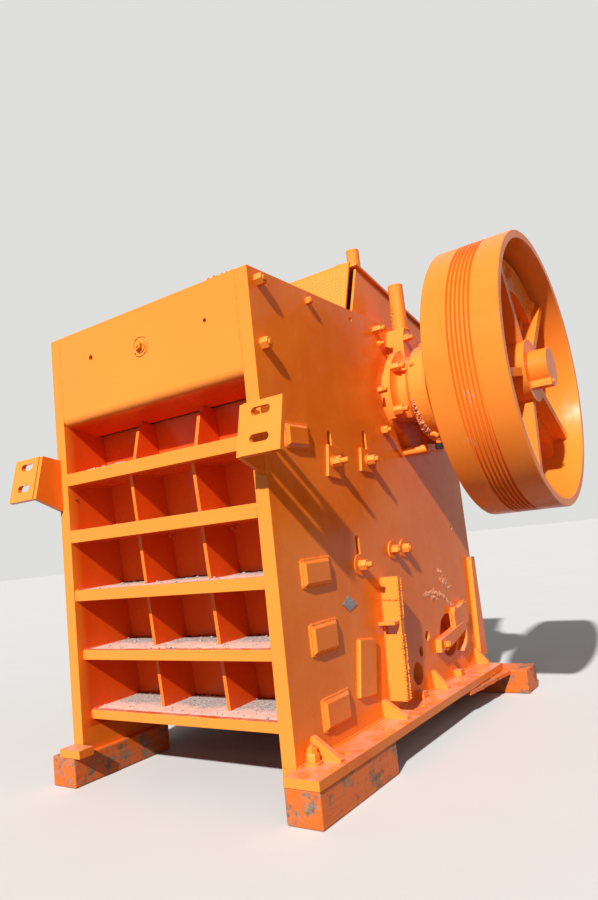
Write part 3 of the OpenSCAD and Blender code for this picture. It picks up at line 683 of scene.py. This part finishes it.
# black strips painted as shade in the gap behind the lip and along the back of the ribs
shadeStrip = {"z": 2098, "front": -1079, "half": 731, "columns": 73, "thick": 12, "uneven": 3,
        "beadHalf": 726, "beadRadius": 9, "beadStep": 18, "beadRipple": 0.2, "beadWander": 0.5}
rng = random.Random(14)
bm = bmesh.new()
rings = []
for i in range(shadeStrip["columns"] + 1):
    x = shadeStrip["half"] * (2 * i / shadeStrip["columns"] - 1)
    z = shadeStrip["z"] + rng.uniform(-shadeStrip["uneven"], shadeStrip["uneven"])
    back = leanY(wall, z) + 1
    top = z + shadeStrip["thick"]
    rings.append([(x, shadeStrip["front"], z), (x, back, z), (x, back, top), (x, shadeStrip["front"], top)])
addTube(bm, rings)
for k in (1, 2, 3, 4):
    # all ribs but the top one
    top = rib["foot"][k] + rib["thick"][k]
    ends = [(x, leanY(wall, top) - 2, top + 4) for x in (-shadeStrip["beadHalf"], shadeStrip["beadHalf"])]
    addBead(bm, ends, shadeStrip["beadRadius"], rng, shadeStrip["beadStep"], shadeStrip["beadRipple"],
            wander=shadeStrip["beadWander"])
makePiece("painted_shade_strips", bm, shadeBlack)
print("front fittings made")


# Weld beads of the front cells; step is the length of a ripple

welds = {"small": 6, "middle": 8, "large": 10}
cellBeads = {"ribStep": 17, "ribStart": 6, "noseStep": 11, "noseX": 3, "wallStep": 26, "wallHalf": 728,
             "gussetStart": 4, "lipStart": 118, "ceilingStep": 22, "lipStep": 14, "lipRipple": 0.08,
             "lip": (2150, 2712)}
# the torn end of a bead on the upper edge of the top plate
tornBead = {"path": ((540, -1318, 2714), (575, -1322, 2716), (640, -1316, 2715), (728, -1320, 2716)),
            "radius": 9, "step": 9, "ripple": 0.5, "wander": 0.4}
rng = random.Random(12)
bm = bmesh.new()
for k, foot in enumerate(rib["foot"]):
    top = foot + rib["thick"][k]
    nose = plate["front"] + rib["setBack"][k]
    for side in (-1, 1):
        x = side * plate["inner"]
        for z in (top, foot):
            addBead(bm, [(x, nose + cellBeads["ribStart"], z), (x, leanY(wall, z), z)], welds["middle"],
                    rng, cellBeads["ribStep"])
        # nose of the rib to the side plate
        x -= cellBeads["noseX"] * side
        addBead(bm, [(x, nose + 1, foot + 2), (x, nose + 1, top - 2)], welds["small"], rng,
                cellBeads["noseStep"])
    addBead(bm, [(x, leanY(wall, top), top) for x in (-cellBeads["wallHalf"], cellBeads["wallHalf"])],
            welds["middle"], rng, cellBeads["wallStep"])
    for middle in (-gusset["x"], gusset["x"]):
        for x in (middle - gusset["half"], middle + gusset["half"]):
            # the gussets of the top cells start at the lip
            start = plate["front"] + cellBeads["lipStart"]
            if k:
                start = leanY(gusset, top) + cellBeads["gussetStart"]
            addBead(bm, [(x, start, top), (x, leanY(wall, top), top)], welds["small"], rng,
                    cellBeads["ribStep"])
            if k:
                ceiling = rib["foot"][k - 1]
                start = leanY(gusset, ceiling) + cellBeads["gussetStart"]
                addBead(bm, [(x, start, ceiling), (x, leanY(wall, ceiling), ceiling)], welds["small"], rng,
                        cellBeads["ceilingStep"])
# top front plate to the side plates
for x in (-plate["inner"], plate["inner"]):
    addBead(bm, [(x, plate["front"] + 1, z) for z in cellBeads["lip"]], welds["small"], rng,
            cellBeads["lipStep"], cellBeads["lipRipple"])
addBead(bm, tornBead["path"], tornBead["radius"], rng, tornBead["step"], tornBead["ripple"],
        wander=tornBead["wander"])
makePiece("cell_welds", bm, weldEnamel)


# Weld beads on the side plates

outer = plate["outer"]
pipe = {"off": 75, "y": 323.8, "radius": 53, "foot": 2673}
ringRadius = pipe["radius"] + 2
pipeRing = [(pipe["off"] + ringRadius * math.cos(a), pipe["y"] + ringRadius * math.sin(a), pipe["foot"])
            for a in [2 * math.pi * k / 24 for k in range(25)]]
sideBeads = {
    # gussets of the base flange: y, width, height
    "flange": {"rear": 1118, "step": 16, "gussets": ((-1195, 160, 110), (-445, 150, 100), (280, 100, 114),
                                                     (1084, 95, 108)), "thick": 32, "gussetStep": 12},
    # outlines of the welded-up rib ends (y, width, foot, height), and the corners of the sloping one
    "rib ends": ((-1150, 215, 1764, 129), (-1130, 265, 1031, 140), (-1110, 252, 687, 153),
                 (-1070, 258, 308, 154)),
    "sloping end": ((-712, 390), (-645, 690), (-465, 665), (-532, 370), (-712, 390)), "endStep": 15,
    # flame-cut edges of the stiffener bar: from and to z, radius, step, ripple and wander
    "bar": {"edges": (1, 43), "out": 114, "z": (290, 998), "lower": ((290, 660), 6, 8, 0.45, 0.5),
            "upper": ((750, 998), 5, 9, 0.35, 0.4)},
    # the joint across the bar: x off the plate and z
    "joint": {"ends": ((6, 872), (112, 868)), "radius": 7, "step": 9, "ripple": 0.35, "wander": 0.4},
}
# the rest: size, step, and points with their x counted from the plate
otherBeads = {
    "bracket, front edge": ("middle", 13, ((0, -1338, 1614), (0, -1338, 1932))),
    "bracket, slope": ("small", 13, ((0, -1507, 1692), (0, -1442, 1952))),
    "web of the saddle": ("large", 15, ((0, 162, 2043), (0, 338, 1813), (0, 338, 1797), (0, 719, 1823))),
    "foot of the pipe": ("middle", 12, pipeRing),
    "lug": ("middle", 14, ((0, 209, 2440), (0, 214, 2567), (0, 244, 2649), (0, 260, 2673), (0, 388, 2673))),
    "clamp bar": ("small", 12, ((2, 394, 507), (2, 761, 556))),
    "rear edge bar": ("middle", 15, ((0, 1187, 1009), (0, 1121, 262))),
}


def barAt(x, z, behind):
    # a point at the front edge of the stiffener bar, or behind it
    return (plate["outer"] + x, leanY(stiffener, z) + behind, z)


bm = bmesh.new()
flange = sideBeads["flange"]
foot = plate["foot"]
addBead(bm, [(outer, plate["front"] + 10, foot), (outer, flange["rear"], foot)], welds["large"], rng,
        flange["step"])
for y, width, tall in flange["gussets"]:
    for edge in (y, y + flange["thick"]):
        for path in (((0, foot + tall - 4), (0, foot + 4)), ((4, foot), (width - 4, foot))):
            addBead(bm, [(outer + x, edge, z) for x, z in path], welds["small"], rng, flange["gussetStep"])
outlines = [((front, low), (front + width, low), (front + width, low + tall), (front, low + tall),
             (front, low)) for front, width, low, tall in sideBeads["rib ends"]]
for outline in outlines + [sideBeads["sloping end"]]:
    addBead(bm, [(outer + 2, y, z) for y, z in outline], welds["middle"], rng, sideBeads["endStep"])
bar = sideBeads["bar"]
for edge in bar["edges"]:
    for ends, radius, step, ripple, wander in (bar["lower"], bar["upper"]):
        addBead(bm, [barAt(bar["out"], z, edge) for z in ends], radius, rng, step, ripple, wander=wander)
    addBead(bm, [barAt(0, z, edge) for z in bar["z"]], welds["middle"], rng, sideBeads["endStep"])
joint = sideBeads["joint"]
addBead(bm, [barAt(x, z, -2) for x, z in joint["ends"]], joint["radius"], rng, joint["step"], joint["ripple"],
        wander=joint["wander"])
for size, step, points in otherBeads.values():
    addBead(bm, [(outer + x, y, z) for x, y, z in points], welds[size], rng, step)
addMirror(bm)
makePiece("side_welds", bm, weldEnamel)
print("weld beads made")


# Rough patches: weld on the pipe, torn edge of the lug over the toggle hole, loose paint

rough = {"pipe": {"lumps": 70, "angles": (150, 250), "from": 26, "tall": 150, "size": (4, 10), "rough": 0.5},
         "lug": {"lumps": 64, "off": (8, 40), "size": (4, 9), "rough": 0.7,
                 "outline": ((692, 540), (688, 640), (722, 686), (810, 674), (917, 711), (976, 667),
                             (956, 550))}}
rng = random.Random(21)
bm = bmesh.new()
patch = rough["pipe"]
for k in range(patch["lumps"]):
    a = math.radians(rng.uniform(*patch["angles"]))
    radius = pipe["radius"] - 2
    height = pipe["foot"] + patch["from"] + patch["tall"] * rng.random() ** 1.3
    spot = (outer + pipe["off"] + radius * math.cos(a), pipe["y"] + radius * math.sin(a), height)
    addLump(bm, spot, rng.uniform(*patch["size"]), rng, patch["rough"])
patch = rough["lug"]
corners = [Vector((0, y, z)) for y, z in patch["outline"]]
for k in range(patch["lumps"]):
    # evenly along the torn edge
    place, part = divmod(k / patch["lumps"] * (len(corners) - 1), 1)
    spot = corners[int(place)].lerp(corners[int(place) + 1], part)
    spot = (outer + rng.uniform(*patch["off"]), spot.y + rng.uniform(-6, 4), spot.z + rng.uniform(-9, 1))
    addLump(bm, spot, rng.uniform(*patch["size"]), rng, patch["rough"])
addMirror(bm)
makePiece("rough_weld_patches", bm, weldEnamel, smooth=60)

# loose paint lies in ragged, bowed rows and curls off the plate: start and end (y, z), flakes, spread
loosePaint = {"rows": (((300, 836), (560, 800), 60, 12), ((600, 965), (760, 800), 70, 26),
                       ((560, 795), (800, 700), 46, 5), ((420, 790), (520, 770), 20, 8)),
              "bow": 14, "size": 3.5, "more": 7, "rough": 0.8, "flat": 0.45, "squash": (0.7, 1.8)}
bm = bmesh.new()
for start, end, count, spread in loosePaint["rows"]:
    for k in range(count):
        share = k / count
        bow = loosePaint["bow"] * math.sin(5 * share + start[0])
        y = start[0] + (end[0] - start[0]) * share + rng.uniform(-spread, spread)
        z = start[1] + (end[1] - start[1]) * share + bow + rng.uniform(-spread, spread)
        size = loosePaint["size"] + loosePaint["more"] * rng.random() ** 2
        squash = (loosePaint["flat"], rng.uniform(*loosePaint["squash"]), rng.uniform(*loosePaint["squash"]))
        addLump(bm, (outer + 1, y, z), size, rng, loosePaint["rough"], squash)
addMirror(bm)
makePiece("loose_paint", bm, looseEnamel, smooth=60)
print("rough patches made")


# Stones and dust on the ribs; depth and pebbles are given for each rib from the top

lying = {"cell": 12.0, "half": 728, "front": 16, "depth": (0, 2, 8, 9, 10), "wavy": (130, 0.35),
         "lumpy": (24, 0.3), "ragged": 9, "raggedSize": 40}
# on the top rib a few larger stones lie by the nose; elsewhere they lie anywhere on the dust
chips = {"count": (26, 6, 60, 80, 70), "rough": 0.6, "squash": (1.1, 0.9, 0.7),
         "top": {"x": (-590, -210), "front": 24, "deep": 30, "size": (5, 13)},
         "lower": {"x": (-715, 715), "front": 40, "deep": 320, "size": (3, 9)}}


def dustDepth(k, share):
    # deeper towards the back; share is 0 at the front and 1 at the wall
    return lying["depth"][k] * (0.15 + share ** 0.8)


rng = random.Random(31)
stoneBm = bmesh.new()
chipBm = bmesh.new()
for k in (1, 2, 3, 4):
    top = rib["foot"][k] + rib["thick"][k]
    front = plate["front"] + rib["setBack"][k] + lying["front"]
    back = leanY(wall, top) - 4
    columns = int(2 * lying["half"] / lying["cell"])
    rows = int((back - front) / lying["cell"])
    grid = []
    for j in range(rows + 1):
        share = j / rows
        y = front + (back - front) * share
        row = []
        for i in range(columns + 1):
            x = lying["half"] * (2 * i / columns - 1)
            swell = noise.noise(Vector((x, y, 300 * k)) / lying["wavy"][0]) * lying["wavy"][1]
            swell += noise.noise(Vector((x, y, 90 * k)) / lying["lumpy"][0]) * lying["lumpy"][1]
            height = dustDepth(k, share) * (1 + swell) * min(1, 6 * share)
            edge = lying["ragged"] * noise.noise(Vector((x / lying["raggedSize"], k, 0))) * (1 - share)
            row.append(stoneBm.verts.new((x, y + edge, top - 1 + max(0, height))))
        grid.append(row)
    for lower, upper in zip(grid, grid[1:]):
        for i in range(columns):
            stoneBm.faces.new([lower[i], lower[i + 1], upper[i + 1], upper[i]])
for k, count in enumerate(chips["count"]):
    kind = chips["lower" if k else "top"]
    for _ in range(count):
        share = rng.random() ** 1.4
        x = rng.uniform(*kind["x"])
        y = plate["front"] + rib["setBack"][k] + kind["front"] + kind["deep"] * share
        size = rng.uniform(*kind["size"])
        z = rib["foot"][k] + rib["thick"][k] + dustDepth(k, share) + size * 0.4
        addLump(chipBm, (x, y, z), size, rng, chips["rough"], chips["squash"])
makePiece("stone_dust", stoneBm, gravel)
makePiece("stone_chips", chipBm, pebble, smooth=20)
print("stones made")


# Tread plate on the pitman guard: crests that slant to either side in turn

tread = {"pitch": 28.0, "long": 11.0, "wide": 3.6, "proud": 3.8, "crown": 0.55, "slant": 45,
         "foot": (-190.2, 2570), "head": (31.8, 3174), "half": 690,
         "outline": ((-1, 0), (-0.5, -0.8), (0.5, -0.8), (1, 0), (0.5, 0.8), (-0.5, 0.8))}
low = Vector((0, *tread["foot"]))
high = Vector((0, *tread["head"]))
rise = (high - low).normalized()
facingFront = Vector((0, -rise.z, rise.y))
columns = int(tread["half"] / tread["pitch"])
bm = bmesh.new()
for j in range(1, int((high - low).length / tread["pitch"])):
    for i in range(-columns, columns + 1):
        centre = low + rise * (j * tread["pitch"]) + Vector((i * tread["pitch"], 0, 0))
        slant = math.radians(tread["slant"] if (i + j) % 2 else -tread["slant"])
        along = Vector((math.cos(slant), 0, 0)) + rise * math.sin(slant)
        across = along.cross(facingFront)
        ring = [centre + along * a * tread["long"] + across * b * tread["wide"] for a, b in tread["outline"]]
        base = [bm.verts.new(p - facingFront) for p in ring]
        crown = [bm.verts.new(centre + (p - centre) * tread["crown"] + facingFront * tread["proud"])
                 for p in ring]
        for k in range(6):
            bm.faces.new([base[k], base[(k + 1) % 6], crown[(k + 1) % 6], crown[k]])
        bm.faces.new(crown)
# the crests are paler than the plate: wear and a painted highlight
makePiece("tread_pattern", bm, paleCrestEnamel)
print("tread pattern made")


# Wheels: bolts of the balance segments, key ends, scuffs on the belt lands

wheelBolts = {"x": 1700, "circle": 650, "angles": (55, 93), "size": (50, 26, 15, 8), "washer": (34, 5)}
keyEnd = {"at": (1865, 227.8, 2071), "outline": ((-29, -21), (23, -21), (23, 21), (-29, 21)), "thick": 16,
          "chamfer": 2, "screw": (1881, 233.8, 2073), "size": (22, 12, 6, 3)}
bm = bmesh.new()
for angle in wheelBolts["angles"]:
    place = facing(onCircle(wheelBolts["x"], wheelBolts["circle"], angle), outward)
    addStud(bm, place, *wheelBolts["size"], wheelBolts["washer"])
addSlab(bm, facing(keyEnd["at"], outward), keyEnd["outline"], -sunk, keyEnd["thick"], keyEnd["chamfer"])
addStud(bm, facing(keyEnd["screw"], outward), *keyEnd["size"])
addMirror(bm)
makePiece("wheel_bolts", bm, boltEnamel, "rotor")

# paint knocked off the belt lands: x, then start and length in degrees
scuffs = {"radius": 868.4, "half": 1.9, "uneven": (0.4, 1.0), "tip": 0.3, "steps": 8,
          "marks": ((1616, 193.4, 3.6), (1616, 197.4, 1.4), (1590.6, 193.0, 2.6), (1641.4, 194.6, 2.2),
                    (1565.2, 211.6, 2.8), (1540.5, 210.4, 2.4))}
rng = random.Random(41)
bm = bmesh.new()
for x, start, length in scuffs["marks"]:
    rows = []
    for j in range(scuffs["steps"] + 1):
        half = scuffs["half"] * rng.uniform(*scuffs["uneven"])
        if j in (0, scuffs["steps"]):
            half *= scuffs["tip"]
        angle = start + length * j / scuffs["steps"]
        rows.append([bm.verts.new(onCircle(x + side * half, scuffs["radius"], angle)) for side in (-1, 1)])
    for lower, upper in zip(rows, rows[1:]):
        bm.faces.new([lower[0], lower[1], upper[1], upper[0]])
makePiece("land_scuffs", bm, wornIron, "rotor")
print("wheel fittings made")


# Timber: a board jammed under the right flange, its edges split and worn

board = {"from": (880, 432), "to": (940, 1085), "width": 128, "top": 169, "thick": 26, "steps": 14,
         "split": 4, "worn": 5, "cupped": 3}
rng = random.Random(51)
bm = bmesh.new()
rings = []
for k in range(board["steps"] + 1):
    x, y = [a + (b - a) * k / board["steps"] for a, b in zip(board["from"], board["to"])]
    top = board["top"] - board["worn"] * rng.random()
    far = x + board["width"] + rng.uniform(-board["split"], board["split"])
    bottom = top - board["thick"]
    rings.append([(x, y, top), (far, y, top - board["cupped"]), (far, y, bottom), (x, y, bottom)])
addTube(bm, rings)
makePiece("jammed_board", bm, oakAlong)
print("timber made")


# Camera, lamps, backdrop and floor

# place in metres, turn in degrees, lens and sensor in millimetres
camera = {"place": (2.8167, -4.0324, 1.2625), "turn": (97.792, 6.047, 34.474), "lens": 27.16, "sensor": 36,
          "reach": 500}
lamps = {"sun": {"direction": (-0.203, 0.784, -0.587), "strength": 5.0, "softness": 1.6},
         "soft fill from the side": {"direction": (-0.93, 0.1, -0.35), "strength": 0.2, "softness": 70.0}}
studio = {"sky": "#F2F5FA", "skyStrength": 0.2, "background": "#DFDFDD", "floor": ("#D9D7D2", "#DEDCD8"),
          "bounce": "#5E5A55", "floorHalf": 120}

cameraData = bpy.data.cameras.new("camera")
cameraData.sensor_width = camera["sensor"]
cameraData.lens = camera["lens"]
cameraData.clip_end = camera["reach"]
cameraObject = bpy.data.objects.new("camera", cameraData)
cameraObject.location = camera["place"]
cameraObject.rotation_euler = [math.radians(a) for a in camera["turn"]]
bpy.context.scene.collection.objects.link(cameraObject)
bpy.context.scene.camera = cameraObject

for name, lamp in lamps.items():
    lampData = bpy.data.lights.new(name, "SUN")
    lampData.energy = lamp["strength"]
    lampData.angle = math.radians(lamp["softness"])
    lampObject = bpy.data.objects.new(name, lampData)
    lampObject.rotation_euler = Vector(lamp["direction"]).to_track_quat("-Z", "Y").to_euler()
    bpy.context.scene.collection.objects.link(lampObject)


def seenDirectly(tree):
    # 1 for what the camera sees, also in a mirror or through glass
    path = addNode(tree, "LightPath")
    seen = addNode(tree, "Math", None, {0: path.outputs["Is Camera Ray"], 1: path.outputs["Is Glossy Ray"]},
                   operation="MAXIMUM").outputs[0]
    return addNode(tree, "Math", None, {0: seen, 1: path.outputs["Is Transmission Ray"]},
                   operation="MAXIMUM").outputs[0]


world = bpy.data.worlds.new("studio")
bpy.context.scene.world = world
world.use_nodes = True
tree = world.node_tree
tree.nodes.clear()
sky = addNode(tree, "Background", {"Color": linear(studio["sky"]), "Strength": studio["skyStrength"]})
backdrop = addNode(tree, "Background", {"Color": linear(studio["background"]), "Strength": 1.0})
mixed = addNode(tree, "MixShader", None, {0: seenDirectly(tree), 1: sky.outputs[0], 2: backdrop.outputs[0]})
addNode(tree, "OutputWorld", None, {"Surface": mixed.outputs[0]})

bm = bmesh.new()
bmesh.ops.create_grid(bm, x_segments=2, y_segments=2, size=studio["floorHalf"])
floorMesh = bpy.data.meshes.new("floor")
bm.to_mesh(floorMesh)
bm.free()
floor = bpy.data.objects.new("floor", floorMesh)
bpy.context.scene.collection.objects.link(floor)
floorMaterial, tree, place = startMaterial("pale studio floor")
shade = layOver(tree, *studio["floor"], pattern(tree, place, 1500))
shade = layOver(tree, studio["bounce"], shade, seenDirectly(tree))
dull = pattern(tree, place, 400, edges=(0.3, 0.7), values=(0.75, 0.85))
finishMaterial(floorMaterial, tree, shade, dull, None)
floorMesh.materials.append(floorMaterial)
print("camera, lamps and floor placed")

bpy.context.scene.view_settings.view_transform = "Standard"
